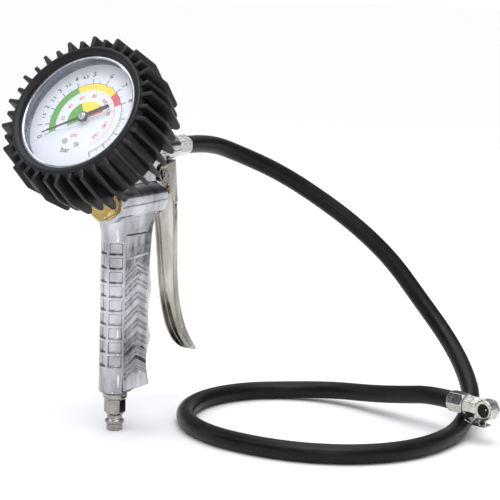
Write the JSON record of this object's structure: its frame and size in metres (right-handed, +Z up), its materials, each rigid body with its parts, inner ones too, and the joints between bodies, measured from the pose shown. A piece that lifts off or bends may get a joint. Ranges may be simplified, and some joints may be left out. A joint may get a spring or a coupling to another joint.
{
  "type": "tire pressure gauge",
  "caption": "Pistol-grip tyre inflator with a booted dial gauge, squeeze lever, rubber hose and clip-on chuck; the trigger opens a spring-loaded valve.",
  "frame": {"origin": "centre of the air inlet plug's tip face", "axes": "+Z up along the grip, +X from the dial towards the lever and the hose outlet, +Y to the far side"},
  "size_m": [0.2572, 0.2636, 0.2414],
  "materials": {
    "nickel_steel": "bright nickel plate",
    "cast_aluminium": "polished die casting",
    "nickel_brass": "nickel plate over brass",
    "bare_brass": "turned",
    "spring_steel": "drawn wire",
    "black_rubber": "matte moulded",
    "hose_rubber": "satin extruded",
    "seal_rubber": "matte",
    "case_steel": "satin",
    "bezel_chrome": "polished",
    "clear_lens": "clear",
    "dial_print": "printed white",
    "pointer_paint": "matte black"
  },
  "bodies": {
    "gun_body": {"air_inlet_plug": "nickel_steel", "inlet_seal": "seal_rubber", "grip_casting": "cast_aluminium", "valve_cap": "bare_brass", "valve_cap_o_ring": "seal_rubber", "valve_seat": "bare_brass", "valve_spring": "spring_steel", "stem_guide": "bare_brass", "pivot_pin": "spring_steel", "pivot_clips": "spring_steel", "hose": "hose_rubber", "hose_outlet_nut": "nickel_brass", "gauge_case": "case_steel", "gauge_bezel": "bezel_chrome", "gauge_lens": "clear_lens", "lens_gasket": "seal_rubber", "dial_plate": "dial_print", "dial_screws": "nickel_steel", "movement_frame": "bare_brass", "bourdon_tube": "bare_brass", "gauge_socket": "bare_brass", "gauge_seal": "seal_rubber", "rubber_boot": "black_rubber", "hose_end_nut": "nickel_brass", "chuck_body": "nickel_brass", "chuck_end_plug": "nickel_brass", "chuck_seal": "seal_rubber", "chuck_depressor": "bare_brass", "chuck_clip_pin": "spring_steel", "chuck_clip_spring": "spring_steel"},
    "trigger": {"trigger_lever": "nickel_steel"},
    "plunger": {"valve_stem": "bare_brass", "poppet_seal": "seal_rubber", "stem_o_ring": "seal_rubber"},
    "needle": {"pointer": "pointer_paint", "pinion_arbor": "bare_brass"},
    "sector": {"sector_gear": "bare_brass"},
    "link": {"movement_link": "bare_brass"},
    "clip": {"chuck_clip": "nickel_steel"}
  },
  "joints": [
    {"name": "trigger_pivot", "type": "hinge", "parent": "gun_body", "child": "trigger", "pos_m": [0.0364, 0, 0.1568], "axis": [0, 1, 0], "range_deg": [0, 10.5], "stiffness_Nm_per_rad": 2, "springref_deg": -8.59},
    {"name": "valve_travel", "type": "slide", "parent": "gun_body", "child": "plunger", "axis": [-1, 0, 0], "range_m": [0, 0.0028], "deforming": ["valve_spring"]},
    {"name": "pointer_spin", "type": "hinge", "parent": "gun_body", "child": "needle", "pos_m": [-0.043, 0, 0.199], "axis": [0.8387, 0, -0.5446], "range_deg": [0, 270], "stiffness_Nm_per_rad": 0.0005, "springref_deg": -11.46},
    {"name": "sector_turn", "type": "hinge", "parent": "gun_body", "child": "sector", "pos_m": [-0.02958, -0.018, 0.19029], "axis": [-0.8387, 0, 0.5446], "range_deg": [0, 34.5]},
    {"name": "link_turn", "type": "hinge", "parent": "sector", "child": "link", "pos_m": [-0.03471, -0.01661, 0.18422], "axis": [-0.8387, 0, 0.5446], "range_deg": [-34.5, 0]},
    {"name": "clip_pivot", "type": "hinge", "parent": "gun_body", "child": "clip", "pos_m": [0.10315, -0.19937, 0.015], "axis": [0.9617, -0.274, 0], "range_deg": [0, 8], "stiffness_Nm_per_rad": 0.02, "springref_deg": -28.65}
  ],
  "couplings": [
    {"joint": "valve_travel", "follows": "trigger_pivot", "m_per_rad": 0.0145},
    {"joint": "sector_turn", "follows": "pointer_spin", "ratio": 0.125},
    {"joint": "link_turn", "follows": "pointer_spin", "ratio": -0.1225}
  ]
}
